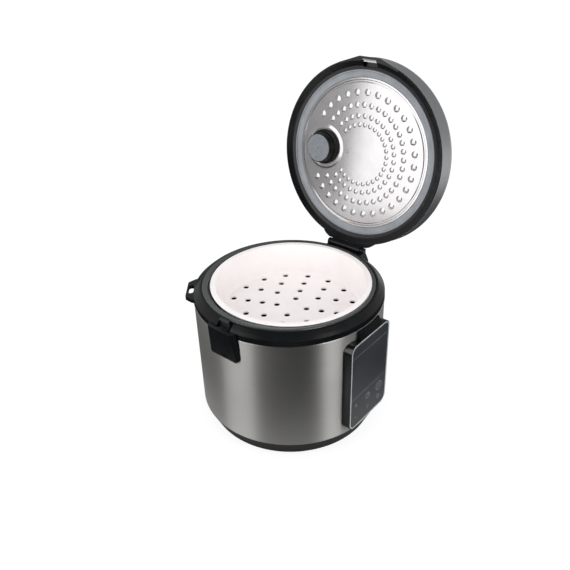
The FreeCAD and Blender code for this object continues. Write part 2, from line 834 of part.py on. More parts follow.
# Control panel: a gloss housing with a tub through the sleeve, a bright trim and a dark face plate
housing = new_body("panel_housing")
sketch = new_sketch(housing, "YZ_Plane", "panel_back")
rectangle(sketch, "-panel_half_width", "panel_low", "panel_half_width", "panel_high", "panel_round")
pad(housing, sketch, "panel_front - 0.5 - panel_back")
sketch = new_sketch(housing, "XZ_Plane")
outline(sketch, [
    ("panel_back", "panel_high - panel_round"),
    ("panel_recess", "panel_high - panel_round"),
    ("panel_front - 0.5", "panel_high - 0.5"),
    ("panel_front - 1", "panel_high"),
    ("neck_front", "neck_top"),
    ("panel_back", "neck_top"),
])
pad(housing, sketch, "2*neck_half", middle=True)
clear_of_sleeve(housing)
sketch = new_sketch(housing, "YZ_Plane", "tub_back")
rectangle(sketch, "-tub_half", "tub_low", "tub_half", "tub_high", "3")
pad(housing, sketch, "panel_recess - tub_back")
sketch = new_sketch(housing, "YZ_Plane", "panel_recess")
rectangle(
    sketch, "-panel_half_width + panel_border", "panel_low + panel_border",
    "panel_half_width - panel_border", "panel_high - panel_border", "panel_round - panel_border",
)
pocket(housing, sketch, "5", back=True)
sketch = new_sketch(housing, "YZ_Plane", "tub_back + tub_wall")
rectangle(
    sketch, "-tub_half + tub_wall", "tub_low + tub_wall",
    "tub_half - tub_wall", "tub_high - tub_wall", "1.5",
)
pocket(housing, sketch, "20", back=True)
trim = new_body("panel_trim")
sketch = new_sketch(trim, "YZ_Plane", "panel_recess")
rectangle(
    sketch, "-panel_half_width + panel_border + fit_gap", "panel_low + panel_border + fit_gap",
    "panel_half_width - panel_border - fit_gap", "panel_high - panel_border - fit_gap",
    "panel_round - panel_border - fit_gap",
)
rectangle(
    sketch, "-panel_half_width + panel_border + trim_width", "panel_low + panel_border + trim_width",
    "panel_half_width - panel_border - trim_width", "panel_high - panel_border - trim_width",
    "panel_round - panel_border - trim_width",
)
pad(trim, sketch, "panel_front - panel_recess")
face = new_body("panel_face")
sketch = new_sketch(face, "YZ_Plane", "panel_recess")
rectangle(
    sketch, "-panel_half_width + panel_border + trim_width + 0.1",
    "panel_low + panel_border + trim_width + 0.1",
    "panel_half_width - panel_border - trim_width - 0.1",
    "panel_high - panel_border - trim_width - 0.1", "panel_round - panel_border - trim_width - 0.1",
)
pad(face, sketch, "panel_front - 0.3 - panel_recess")
board_front = "control_board_back + board_thickness"
block(
    "control_board", "control_board_back", board_front, "-control_board_half", "control_board_half",
    "control_board_low", "control_board_high - control_board_low",
)
block(
    "display_module", board_front, "display_front", "-display_half", "display_half",
    "display_low", "display_high - display_low",
)

# Lid, drawn closed and then swung open about the hinge pin
hinge_point = Vector(0, amount("hinge_y"), amount("hinge_z"))
lid_place = Placement(Vector(0, 0, 0), Rotation(Vector(1, 0, 0), -amount("lid_open_angle")), hinge_point)
valve_place = lid_place.multiply(Placement(Vector(-amount("valve_offset"), 0, 0), Rotation()))

# Lid frame: a moulded ring with a nose at the latch and an arm with the hinge knuckle
frame = new_body("lid_frame")
sketch = new_sketch(frame, "XY_Plane", "frame_edge")
outline(sketch, [
    ("-nose_root", "-nose_root_y"),
    ("-nose_half", "-nose_front + 0.3", "nose_bend"),
    ("nose_half", "-nose_front + 0.3", "nose_bend"),
    ("nose_root", "-nose_root_y"),
    ("nose_root - 4", "-nose_root_y + 8"),
    ("-nose_root + 4", "-nose_root_y + 8"),
])
pad(frame, sketch, "frame_seat - frame_edge")
sketch = new_sketch(frame, "XY_Plane", "frame_seat - 0.3")
outline(sketch, [
    ("arm_half", "arm_root"),
    ("arm_half", "arm_shoulder", "3"),
    ("arm_waist", "arm_bend", "4"),
    ("arm_neck", "arm_end", "1.5"),
    ("knuckle_half", "arm_end"),
    ("knuckle_half", "hinge_y + 2.5"),
    ("-knuckle_half", "hinge_y + 2.5"),
    ("-knuckle_half", "arm_end"),
    ("-arm_neck", "arm_end", "1.5"),
    ("-arm_waist", "arm_bend", "4"),
    ("-arm_half", "arm_shoulder", "3"),
    ("-arm_half", "arm_root"),
])
pad(frame, sketch, "arm_height")
sketch = new_sketch(frame, "XZ_Plane")
rectangle(sketch, "0", "180", "118.6", "205")
groove(frame, sketch)
sketch = new_sketch(frame, "XZ_Plane")
outline(sketch, [
    ("frame_inner", "frame_under + 0.6"),
    ("frame_bend", "frame_under", "6"),
    ("frame_outer - 0.6", "frame_edge", "0.8"),
    ("frame_outer", "frame_seat"),
    ("frame_outer - 1.8", "frame_seat"),
    ("frame_outer - 1.8", "192"),
    ("115", "195.2"),
    ("frame_inner + 2", "195.2"),
    ("frame_inner + 2", "frame_top"),
    ("frame_inner", "frame_top"),
])
revolve(frame, sketch)
sketch = new_sketch(frame, "XY_Plane", "catch_low")
rectangle(sketch, "-catch_half", "-catch_front", "catch_half", "-frame_inner - 0.9")
pad(frame, sketch, "catch_height")
sketch = new_sketch(frame, "XY_Plane", "recess_top")
rectangle(sketch, "-recess_half", "-recess_front", "recess_half", "-recess_back")
pocket(frame, sketch, "14")
sketch = new_sketch(frame, "YZ_Plane")
circle(sketch, "hinge_y", "hinge_z", "knuckle_radius")
pad(frame, sketch, "2*knuckle_half", middle=True)
sketch = new_sketch(frame, "YZ_Plane")
circle(sketch, "hinge_y", "hinge_z", "spring_room")
pocket(frame, sketch, "2*spring_half", middle=True)
sketch = new_sketch(frame, "YZ_Plane")
rectangle(sketch, "hinge_y - spring_room", "hinge_z", "hinge_y + spring_room", "hinge_z + 10")
pocket(frame, sketch, "2*spring_half", middle=True)
sketch = new_sketch(frame, "YZ_Plane")
circle(sketch, "hinge_y", "hinge_z", "hinge_pin + fit_gap + 0.01")
pocket(frame, sketch, "3*hinge_half", middle=True)

# Lid cover: a domed shell over the frame with a nose, a notch for the hinge arm and a vent well
cover = new_body("lid_cover")
sketch = new_sketch(cover, "XY_Plane", "cover_low")
outline(sketch, [
    ("-nose_root", "-nose_root_y"),
    ("-nose_half", "-nose_front", "nose_bend"),
    ("nose_half", "-nose_front", "nose_bend"),
    ("nose_root", "-nose_root_y"),
    ("nose_root - 4", "-nose_root_y + 8"),
    ("-nose_root + 4", "-nose_root_y + 8"),
])
pad(cover, sketch, "nose_top - cover_low", taper=-6)
sketch = new_sketch(cover, "XZ_Plane")
outline(sketch, [
    ("0", "180"),
    ("cover_radius - 0.5*cover_wall", "180"),
    ("cover_radius - 0.5*cover_wall", "cover_low"),
    ("cover_radius + 0.4", "nose_top + 0.3"),
    ("0", "nose_top + 0.3"),
])
groove(cover, sketch)
sketch = new_sketch(cover, "XZ_Plane")
outline(sketch, [
    ("cover_radius - cover_wall", "cover_low"),
    ("cover_radius", "cover_low"),
    ("cover_bulge", "cover_shoulder", "10"),
    ("crown_bend", "crown_bend_z", "400"),
    ("0", "cover_crown"),
    ("0", "cover_crown - cover_wall"),
    ("crown_bend", "crown_bend_z - cover_wall"),
    ("cover_bulge - cover_wall", "cover_shoulder - 1.5", "8.2"),
])
revolve(cover, sketch)
sketch = new_sketch(cover, "XY_Plane", "vent_seat - 3")
circle(sketch, "-valve_offset", "0", "vent_radius + 2.4")
pad(cover, sketch, "5")
sketch = new_sketch(cover, "XY_Plane", "vent_seat")
circle(sketch, "-valve_offset", "0", "vent_radius + 0.4")
pocket(cover, sketch, "20", back=True)
sketch = new_sketch(cover, "XY_Plane", "vent_seat - 5")
circle(sketch, "-valve_offset", "0", "vent_plug + 0.4")
pocket(cover, sketch, "20", back=True)
sketch = new_sketch(cover, "XZ_Plane", "-90")
rectangle(sketch, "-arm_half - 1", "180", "arm_half + 1", "frame_seat + arm_height + 0.8")
pocket(cover, sketch, "50")

# Lid gasket: a moulded silicone ring between the plate and the frame
gasket = turned("lid_gasket", [
    ("gasket_outer", "gasket_lip + 0.6"),
    ("gasket_outer - 0.6", "gasket_lip"),
    ("gasket_outer - 1.7", "gasket_lip"),
    ("gasket_outer - 2.1", "plate_under - 0.9", "1"),
    ("gasket_inner + 0.2", "plate_under - 0.1"),
    ("gasket_inner", "gasket_top"),
    ("gasket_outer", "gasket_top"),
])

# Inner lid plate: pressed aluminium with a stepped rim, a raised ring round the valve and rows of dimples
plate = turned("inner_lid_plate", [
    ("0", "plate_under"),
    ("plate_radius - 6.2", "plate_under"),
    ("plate_radius - 5", "plate_under + 0.8"),
    ("plate_radius - 3.2", "plate_under + 0.8"),
    ("plate_radius - 2.4", "plate_under - 0.2"),
    ("plate_radius", "plate_under - 0.2"),
    ("plate_radius", "plate_under + plate_thickness - 0.1"),
    ("plate_radius - 1.9", "plate_under + plate_thickness - 0.1"),
    ("plate_radius - 2.8", "plate_under + plate_thickness + 0.8"),
    ("plate_radius - 5.4", "plate_under + plate_thickness + 0.8"),
    ("plate_radius - 6.6", "plate_under + plate_thickness"),
    ("0", "plate_under + plate_thickness"),
])
sketch = new_sketch(plate, "XZ_Plane", shift=-amount("valve_offset"))
outline(sketch, [
    ("valve_base + 0.8", "plate_under + 0.5"),
    ("valve_base + 1.2", "plate_under - 1.7", "0.8"),
    ("valve_base + 3.6", "plate_under - 1.7", "1.5"),
    ("valve_rim", "plate_under + 0.3"),
    ("valve_rim", "plate_under + 0.5"),
])
revolve(plate, sketch)
sketch = new_sketch(plate, "XY_Plane", "plate_under - 5")
circle(sketch, "-valve_offset", "0", "valve_hole")
pocket(plate, sketch, "10", back=True)
for ring_radius, dimple_radius, dimple_height, dimple_count, arc in DIMPLE_RINGS:
    ball = (dimple_radius ** 2 + dimple_height ** 2) / (2 * dimple_height)
    rise = ball - dimple_height
    first = math.radians(-arc / 2)
    dimple = plate.newObject("PartDesign::AdditiveSphere", "dimple")
    dimple.Radius = ball
    dimple.Angle1 = -90
    dimple.Angle2 = math.degrees(math.asin((0.5 * amount("plate_thickness") - rise) / ball))
    dimple.Placement = Placement(
        Vector(ring_radius * math.cos(first), ring_radius * math.sin(first), amount("plate_under") + rise),
        Rotation(),
    )
    ring_of(plate, [dimple], dimple_count, arc)
rivet = turned("plate_rivet", [
    ("0", "plate_under - 0.9"),
    ("1.8", "plate_under - 0.9", "0.7"),
    ("1.8", "plate_under"),
    ("0", "plate_under"),
])

# Steam valve under the plate: a rubber seat with a grey cap
valve_seat = turned("valve_seat", [
    ("valve_bore", "plate_under + 3.6"),
    ("valve_hole - 0.1", "plate_under + 3.6"),
    ("valve_hole - 0.1", "plate_under"),
    ("valve_base", "plate_under"),
    ("valve_base", "plate_under - 2.4", "1.2"),
    ("valve_neck + 0.3", "plate_under - 3.6", "0.8"),
    ("valve_neck", "valve_low + 1.6"),
    ("valve_bore", "valve_low + 1.6"),
])
valve_cap = turned("valve_cap", [
    ("0.8", "valve_low"),
    ("valve_face", "valve_low", "0.8"),
    ("valve_face", "valve_low + 1.6"),
    ("0.8", "valve_low + 1.6"),
])

# Steam vent cap: a pull-off cap in the well on the lid's outside
vent_cap = turned("steam_vent_cap", [
    ("0", "vent_seat + 5.6"),
    ("vent_radius", "vent_seat + 3.2", "2"),
    ("vent_radius", "vent_seat + 0.3"),
    ("vent_plug", "vent_seat + 0.3"),
    ("vent_plug", "vent_seat - 9"),
    ("vent_plug - 1.8", "vent_seat - 9"),
    ("vent_plug - 1.8", "vent_seat + 1.6"),
    ("0", "vent_seat + 3"),
])
sketch = new_sketch(vent_cap, "XY_Plane", "vent_seat")
rectangle(sketch, "7", "-1.3", "14", "1.3", "1.2")
slot = pocket(vent_cap, sketch, "10", back=True)
ring_of(vent_cap, [slot], 8)

# Keeper: a steel strip in the frame's recess that the hook catches
keeper = block(
    "keeper", "-recess_half + fit_gap", "recess_half - fit_gap",
    "-keeper_front", "-keeper_back", "keeper_low", "keeper_thickness",
)

for piece in (frame, cover, gasket, plate, keeper):
    piece.Placement = lid_place
for piece in (valve_seat, valve_cap, vent_cap):
    piece.Placement = valve_place
rivet.Placement = lid_place.multiply(Placement(Vector(-amount("rivet_offset"), 0, 0), Rotation()))

# Lid release: a wedge-shaped shell on a lever pin, with the hook fixed under its top
button = new_body("release_button")
sketch = new_sketch(button, "XY_Plane", "button_low")
outline(sketch, [
    ("-button_half_root", "-117"),
    ("-button_half_front", "-button_front", "2.5"),
    ("button_half_front", "-button_front", "2.5"),
    ("button_half_root", "-117"),
])
pad(button, sketch, "button_top - button_low")
sketch = new_sketch(button, "YZ_Plane")
outline(sketch, [
    ("-button_front", "button_top + 0.1"),
    ("-button_toe", "button_low - 0.1"),
    ("-button_front - 8", "button_low - 0.1"),
    ("-button_front - 8", "button_top + 0.1"),
])
pocket(button, sketch, "80", middle=True)
sketch = new_sketch(button, "XZ_Plane", "110")
outline(sketch, [
    ("-button_half_root - 2", "button_low - 1"),
    ("-button_half_front - 1.5", "button_low - 1"),
    ("-button_half_root + 3", "button_low + 3", "4"),
    ("-button_half_root - 2", "button_low + 12"),
])
outline(sketch, [
    ("button_half_root + 2", "button_low - 1"),
    ("button_half_front + 1.5", "button_low - 1"),
    ("button_half_root - 3", "button_low + 3", "4"),
    ("button_half_root + 2", "button_low + 12"),
])
pocket(button, sketch, "30", back=True)
sketch = new_sketch(button, "YZ_Plane")
outline(sketch, [
    ("-button_front + button_wall", "button_top - button_wall"),
    ("-button_toe - 1.5 + button_wall", "lever_z + 5"),
    ("-114", "lever_z + 5"),
    ("-114", "button_top - button_wall"),
])
pocket(button, sketch, "30", middle=True)
sketch = new_sketch(button, "XZ_Plane")
outline(sketch, [
    ("0", "140"),
    ("body_radius + 0.5", "140"),
    ("body_radius + 0.5", "lever_z"),
    ("body_radius + 2.9", "button_top + 2"),
    ("0", "button_top + 2"),
])
groove(button, sketch)
sketch = new_sketch(button, "YZ_Plane")
outline(sketch, [
    ("-button_toe - 0.9", "lever_z - 4"),
    ("-lever_y + 2.9", "lever_z - 4", "2.5"),
    ("-lever_y + 2.9", "lever_z + 4", "2.5"),
    ("-button_toe - 0.9", "lever_z + 4"),
])
pad(button, sketch, "2*lever_half", middle=True)
sketch = new_sketch(button, "YZ_Plane")
circle(sketch, "-lever_y", "lever_z", "lever_pin + fit_gap")
pocket(button, sketch, "40", middle=True)
lever_pin = new_body("button_pin")
sketch = new_sketch(lever_pin, "YZ_Plane")
circle(sketch, "-lever_y", "lever_z", "lever_pin")
pad(lever_pin, sketch, "2*ear_outer", middle=True)

hook = new_body("latch_hook")
hook_floor = "button_top - button_wall"
sketch = new_sketch(hook, "YZ_Plane")
outline(sketch, [
    ("-button_front + 2.8", "button_top - button_wall - 1.8"),
    ("-hook_back", "button_top - button_wall - 1.8", "1"),
    ("-hook_back", "hook_top"),
    ("-hook_back - 1.4", "hook_top"),
    ("-hook_tip", "hook_top - 2.4"),
    ("-hook_tip", "hook_top - 2.8"),
    ("-hook_back - 1.8", "hook_top - 2.8"),
    ("-hook_back - 1.8", hook_floor),
    ("-button_front + 2.8", hook_floor),
])
pad(hook, sketch, "2*hook_half", middle=True)

# Pot: spun aluminium with a rolled flange
turned("inner_pot", [
    ("0", "pot_floor"),
    ("pot_inner + pot_wall", "pot_floor", "pot_corner"),
    ("pot_inner + pot_wall", "pot_lip - 2.1"),
    ("pot_inner + pot_lip_width - 0.2", "pot_rim_low"),
    ("pot_rim_radius - 0.8", "pot_rim_low"),
    ("pot_rim_radius", "pot_rim_low + 0.8"),
    ("pot_rim_radius", "pot_rim_top", "0.9"),
    ("pot_inner + pot_lip_width", "pot_rim_top - pot_rim_slope", "0.6"),
    ("pot_inner", "pot_lip", "0.8"),
    ("pot_inner", "pot_floor + pot_wall", "pot_corner - pot_wall"),
    ("0", "pot_floor + pot_wall"),
])

# Steamer tray: a white moulding that hangs in the pot, with four rings of round holes
tray = turned("steamer_tray", [
    ("0", "tray_floor"),
    ("tray_wall_low", "tray_floor", "4"),
    ("tray_wall_top", "tray_rim_top - tray_rim_thickness"),
    ("tray_rim_radius", "tray_rim_top - tray_rim_thickness"),
    ("tray_rim_radius", "tray_rim_top", "0.7"),
    ("tray_wall_top - tray_thickness + 0.6", "tray_rim_top", "1"),
    ("tray_wall_low - tray_thickness", "tray_floor + tray_thickness", "2.5"),
    ("0", "tray_floor + tray_thickness"),
])
for ring in (1, 2, 3, 4):
    sketch = new_sketch(tray, "XY_Plane", "tray_floor")
    circle(sketch, *on_circle(f"{ring}*tray_ring_step", amount("tray_turn")), "tray_hole")
    hole = pocket(tray, sketch, "tray_thickness + 1", back=True)
    ring_of(tray, [hole], 4 * ring)
tray.Placement = Placement(Vector(amount("tray_shift_x"), amount("tray_shift_y"), 0), Rotation())


# Wound springs: one round wire along a helix of joined arcs
def joined_arcs(begin, begin_way, end, end_way):
    """Two arcs that leave begin along begin_way and reach end along end_way."""
    chord = end - begin
    ways = begin_way + end_way
    bend = 2 * (1 - begin_way.dot(end_way))
    reach = (math.sqrt(chord.dot(ways) ** 2 + bend * chord.dot(chord)) - chord.dot(ways)) / bend
    first_corner = begin + begin_way * reach
    last_corner = end - end_way * reach
    middle = (first_corner + last_corner) * 0.5
    arcs = []
    for low, corner, high in ((begin, first_corner, middle), (middle, last_corner, end)):
        half = (high - low).Length / 2
        foot = (low + high) * 0.5
        rise = corner - foot
        sag = half * math.tan(math.atan2(rise.Length, half) / 2)
        arcs.append(Part.Arc(low, foot + rise.normalize() * sag, high).toShape())
    return arcs


def coil(label, start, axis, coil_radius, wire_radius, turns, length):
    """A spring of whole quarter turns wound about an axis from its start point."""
    side = Vector(0, 1, 0) if abs(axis.y) < 0.5 else Vector(1, 0, 0)
    across = axis.cross(side)
    pitch = length / turns
    edges = []

    def spot(turn):
        angle = 2 * math.pi * turn
        ray = side * math.cos(angle) + across * math.sin(angle)
        return start + ray * coil_radius + axis * (pitch * turn)

    def way(turn):
        angle = 2 * math.pi * turn
        speed = across * math.cos(angle) - side * math.sin(angle)
        return (speed * (2 * math.pi * coil_radius) + axis * pitch).normalize()

    for quarter in range(int(turns * 4)):
        low = quarter / 4
        high = (quarter + 1) / 4
        edges += joined_arcs(spot(low), way(low), spot(high), way(high))
    ring = Part.Wire([Part.Circle(spot(0), way(0), wire_radius).toShape()])
    wire = Part.Wire(edges)
    tube = wire.makePipeShell([ring], True, False)
    samples = wire.discretize(Number=int(turns * 24) + 1)
    gap = min(
        (samples[i] - samples[j]).Length
        for i in range(len(samples)) for j in range(i + 18, len(samples))
    )
    print(label, "least gap between turns", round(gap - 2 * wire_radius, 2))
    spring = doc.addObject("Part::Feature", label)
    spring.Label = label
    spring.Shape = tube if tube.ShapeType == "Solid" else Part.Solid(tube)
    pieces.append(spring)


coil("sensor_spring", Vector(0, 0, amount("holder_floor") + 1.75), Vector(0, 0, 1), 10.0, 0.7, 6.0, 27.2)
coil("hinge_spring", hinge_point + Vector(-8, 0, 0), Vector(1, 0, 0), 3.7, 0.6, 8.0, 16.0)
lever_point = Vector(4.7, -amount("lever_y"), amount("lever_z"))
coil("button_spring", lever_point, Vector(1, 0, 0), 2.6, 0.35, 3.5, 4.1)

# Check every piece and write it
doc.recompute()
for thing in doc.Objects:
    if "Invalid" in thing.State or "Error" in thing.State:
        raise ValueError("feature failed: " + thing.Label + " " + str(thing.State))
os.makedirs("parts", exist_ok=True)
for piece in pieces:
    if piece.Shape.isNull() or not piece.Shape.isValid():
        raise ValueError("bad shape: " + piece.Label)
    piece.Shape.exportStep(f"parts/{piece.Label}.step")
    box = piece.Shape.BoundBox
    print(
        piece.Label, len(piece.Shape.Solids), "solids", round(piece.Shape.Volume, 1),
        [round(v, 1) for v in (box.XMin, box.YMin, box.ZMin, box.XMax, box.YMax, box.ZMax)],
    )
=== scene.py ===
import bmesh
import bpy
import json
import math
from mathutils import Matrix, Vector


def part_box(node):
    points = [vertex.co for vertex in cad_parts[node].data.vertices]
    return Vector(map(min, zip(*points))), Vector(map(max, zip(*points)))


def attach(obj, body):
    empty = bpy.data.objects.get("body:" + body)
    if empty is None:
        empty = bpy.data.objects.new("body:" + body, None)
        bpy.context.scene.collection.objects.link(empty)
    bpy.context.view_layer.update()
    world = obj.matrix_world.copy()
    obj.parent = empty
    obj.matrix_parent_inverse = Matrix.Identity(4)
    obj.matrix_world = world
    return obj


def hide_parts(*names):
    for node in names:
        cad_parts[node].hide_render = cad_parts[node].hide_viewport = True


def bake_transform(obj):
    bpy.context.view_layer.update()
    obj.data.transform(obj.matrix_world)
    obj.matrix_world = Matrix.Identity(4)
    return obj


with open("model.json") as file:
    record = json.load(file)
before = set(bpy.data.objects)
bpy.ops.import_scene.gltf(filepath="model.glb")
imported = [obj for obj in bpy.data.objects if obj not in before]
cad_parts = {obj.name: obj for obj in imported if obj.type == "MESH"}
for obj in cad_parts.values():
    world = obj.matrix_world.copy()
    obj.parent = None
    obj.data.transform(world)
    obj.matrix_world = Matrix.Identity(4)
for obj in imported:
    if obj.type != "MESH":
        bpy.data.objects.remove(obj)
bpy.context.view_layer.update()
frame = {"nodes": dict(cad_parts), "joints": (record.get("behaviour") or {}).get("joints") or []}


# Rubber feet: four nitrile feet, moulded and pressed by their stems into the base.
# They are dull black, and dust and handling leave a grey bloom on them.
def linear(code):
    """An sRGB hex colour as linear red, green, blue and alpha."""
    channels = [int(code[i:i + 2], 16) / 255 for i in (1, 3, 5)]
    return [c / 12.92 if c <= 0.04045 else ((c + 0.055) / 1.055) ** 2.4 for c in channels] + [1.0]


def add(tree, kind, stops=None, **settings):
    """Adds a node with its settings and links.

    A setting is an attribute, the value of an input, or a node or output to link to that input.
    An input goes by its name, or by its number among the inputs, as in input_4.
    """
    node = tree.nodes.new("ShaderNode" + kind)
    for spot, (position, code) in enumerate(stops or []):
        node.color_ramp.elements[spot].position = position
        node.color_ramp.elements[spot].color = linear(code)
    for name in [name for name in settings if hasattr(node, name)]:
        setattr(node, name, settings.pop(name))
    for name, value in settings.items():
        key = int(name[-1]) if name[-1].isdigit() else name.replace("_", " ")
        if isinstance(value, bpy.types.Node):
            value = value.outputs[0]
        if isinstance(value, bpy.types.NodeSocket):
            tree.links.new(value, node.inputs[key])
        else:
            node.inputs[key].default_value = value
    return node


def new_material(name):
    """An empty material with its tree and the object's own coordinates."""
    material = bpy.data.materials.new(name)
    material.use_nodes = True
    material.node_tree.nodes.clear()
    return material, material.node_tree, add(material.node_tree, "TexCoord").outputs["Object"]


def dress(material, *names):
    """Gives CAD nodes a material."""
    for name in names:
        data = frame["nodes"][name].data
        data.materials.clear()
        data.materials.append(material)


# Moulded nitrile rubber gives a near black that turns grey in patches of 6 mm, with a tooth of
# 0.6 mm. A scale is 1000 over a size in millimetres, and noise mostly lies between 0.3 and 0.7.
noise_span = {"From_Min": 0.3, "From_Max": 0.7}
micron = 0.000001
rubber, tree, place = new_material("nitrile_rubber_moulded")
bloom = add(tree, "TexNoise", Vector=place, Scale=1000 / 6.0, Detail=3.0)
tooth = add(tree, "TexNoise", Vector=place, Scale=1000 / 0.6, Detail=2.0)
skin = add(
    tree, "BsdfPrincipled", IOR=1.52,
    Base_Color=add(tree, "ValToRGB", Fac=bloom, stops=[(0.3, "#101011"), (0.7, "#1b1b1c")]),
    Roughness=add(tree, "MapRange", Value=bloom, **noise_span, To_Min=0.55, To_Max=0.78),
    Normal=add(tree, "Bump", Height=tooth, Distance=50 * micron),
)
add(tree, "OutputMaterial", Surface=skin)
dress(rubber, "rubber_feet")

# Base pan: one injection moulding in polypropylene that closes the body below and carries the feet.
# A spark-eroded mould leaves it satin black, a little greyer than the polished parts.
base_plastic, tree, place = new_material("polypropylene_black_satin")
flow = add(tree, "TexNoise", Vector=place, Scale=1000 / 25.0, Detail=2.0)
spark = add(tree, "TexNoise", Vector=place, Scale=1000 / 0.8, Detail=2.0)
skin = add(
    tree, "BsdfPrincipled", IOR=1.49, Specular_IOR_Level=0.35,
    Base_Color=add(tree, "ValToRGB", Fac=flow, stops=[(0.3, "#141517"), (0.7, "#1c1d1f")]),
    Roughness=add(tree, "MapRange", Value=flow, **noise_span, To_Min=0.36, To_Max=0.46),
    Normal=add(tree, "Bump", Height=spark, Distance=20 * micron),
)
add(tree, "OutputMaterial", Surface=skin)
dress(base_plastic, "base_pan")

# Screws and small pressed parts: turned or pressed steel under zinc plate, screwed, clipped or
# riveted in place.
# Zinc plate is a bright grey that yellows in patches, over drawing marks 0.2 mm apart.
zinc, tree, place = new_material("steel_zinc_plated")
stain = add(tree, "TexNoise", Vector=place, Scale=1000 / 4.0, Detail=3.0)
drawn = add(tree, "TexNoise", Vector=place, Scale=1000 / 0.2, Detail=1.0)
skin = add(
    tree, "BsdfPrincipled", Metallic=1.0,
    Base_Color=add(tree, "ValToRGB", Fac=stain, stops=[(0.3, "#a9aaa8"), (0.7, "#c3c3bb")]),
    Roughness=add(tree, "MapRange", Value=stain, **noise_span, To_Min=0.24, To_Max=0.38),
    Normal=add(tree, "Bump", Height=drawn, Distance=10 * micron),
)
add(tree, "OutputMaterial", Surface=skin)
dress(zinc, "base_screws", "heater_screws", "thermal_fuse", "sensor_holder", "plate_rivet")

# Power inlet, latch hook and the closed parts on the boards: glass-filled nylon mouldings,
# clipped or soldered in place.
# The filler shows as a dull, slightly mottled black.
nylon, tree, place = new_material("nylon_black_moulded")
mottle = add(tree, "TexNoise", Vector=place, Scale=1000 / 5.0, Detail=3.0)
fibre = add(tree, "TexNoise", Vector=place, Scale=1000 / 0.5, Detail=2.0)
skin = add(
    tree, "BsdfPrincipled", IOR=1.53,
    Base_Color=add(tree, "ValToRGB", Fac=mottle, stops=[(0.3, "#121315"), (0.7, "#1d1e21")]),
    Roughness=add(tree, "MapRange", Value=mottle, **noise_span, To_Min=0.42, To_Max=0.56),
    Normal=add(tree, "Bump", Height=fibre, Distance=20 * micron),
)
add(tree, "OutputMaterial", Surface=skin)
dress(nylon, "power_inlet", "power_relay", "power_transformer")
dress(nylon, "display_module", "thermistor", "latch_hook")

# Inlet pins: three strips of rolled brass, moulded into the inlet.
# Brass is a warm yellow that dulls in spots of 2 mm.
brass, tree, place = new_material("brass_rolled")
tarnish = add(tree, "TexNoise", Vector=place, Scale=1000 / 2.0, Detail=3.0)
skin = add(
    tree, "BsdfPrincipled", Metallic=1.0,
    Base_Color=add(tree, "ValToRGB", Fac=tarnish, stops=[(0.3, "#b08d4a"), (0.7, "#d8b66c")]),
    Roughness=add(tree, "MapRange", Value=tarnish, **noise_span, To_Min=0.18, To_Max=0.34),
)
add(tree, "OutputMaterial", Surface=skin)
dress(brass, "inlet_pins")

# Circuit boards: glass cloth in epoxy under green lacquer, on posts in the base and in the panel.
# The cloth's threads, half a millimetre apart, show through as a faint grid.
board, tree, place = new_material("glass_epoxy_green_lacquer")
weave = add(tree, "TexChecker", Vector=place, Scale=1000 / 0.5).outputs["Fac"]
skin = add(
    tree, "BsdfPrincipled", IOR=1.5, Roughness=0.35,
    Base_Color=add(tree, "ValToRGB", Fac=weave, stops=[(0.0, "#0f4a2a"), (1.0, "#145633")]),
    Normal=add(tree, "Bump", Height=weave, Distance=10 * micron),
)
add(tree, "OutputMaterial", Surface=skin)
dress(board, "power_board", "control_board")

# Inner liner and sensor cup: aluminium sheet, deep drawn, the liner hung from the collar's ledge.
# Drawing leaves a soft haze with fine upright lines 0.7 mm apart.
drawn_metal, tree, place = new_material("aluminium_deep_drawn")
haze = add(tree, "TexNoise", Vector=place, Scale=1000 / 12.0, Detail=2.0)
upright = add(tree, "Mapping", Vector=place, Scale=(1000 / 0.7, 1000 / 0.7, 1000 / 14.0))
draw_lines = add(tree, "TexNoise", Vector=upright, Scale=1.0, Detail=2.0)
skin = add(
    tree, "BsdfPrincipled", Metallic=0.75,
    Base_Color=add(tree, "ValToRGB", Fac=haze, stops=[(0.3, "#b4b5b7"), (0.7, "#cfd0d2")]),
    Roughness=add(tree, "MapRange", Value=haze, **noise_span, To_Min=0.32, To_Max=0.46),
    Normal=add(tree, "Bump", Height=draw_lines, Distance=10 * micron),
)
add(tree, "OutputMaterial", Surface=skin)
dress(drawn_metal, "inner_liner", "sensor_cup")

# Heating plate: an aluminium casting screwed to the liner's floor, turned flat on top.
# A casting is duller and greyer than sheet, and its pores are about 1.5 mm apart.
cast_metal, tree, place = new_material("aluminium_cast")
pores = add(tree, "TexNoise", Vector=place, Scale=1000 / 1.5, Detail=3.0)
skin = add(
    tree, "BsdfPrincipled", Metallic=0.7,
    Base_Color=add(tree, "ValToRGB", Fac=pores, stops=[(0.3, "#9d9ea0"), (0.7, "#b9babb")]),
    Roughness=add(tree, "MapRange", Value=pores, **noise_span, To_Min=0.42, To_Max=0.58),
    Normal=add(tree, "Bump", Height=pores, Distance=50 * micron),
)
add(tree, "OutputMaterial", Surface=skin)
dress(cast_metal, "heating_plate")

# Element, springs and pins: drawn steel, wound, bent or cut to length.
# Annealing leaves a grey-brown bloom on the bright wire.
wire, tree, place = new_material("steel_drawn_wire")
bloom = add(tree, "TexNoise", Vector=place, Scale=1000 / 3.0, Detail=2.0)
skin = add(
    tree, "BsdfPrincipled", Metallic=1.0,
    Base_Color=add(tree, "ValToRGB", Fac=bloom, stops=[(0.3, "#b3b1ae"), (0.7, "#d2d1cf")]),
    Roughness=add(tree, "MapRange", Value=bloom, **noise_span, To_Min=0.22, To_Max=0.36),
)
add(tree, "OutputMaterial", Surface=skin)
dress(wire, "heating_element", "hinge_pin", "button_pin")
dress(wire, "sensor_spring", "hinge_spring", "button_spring")

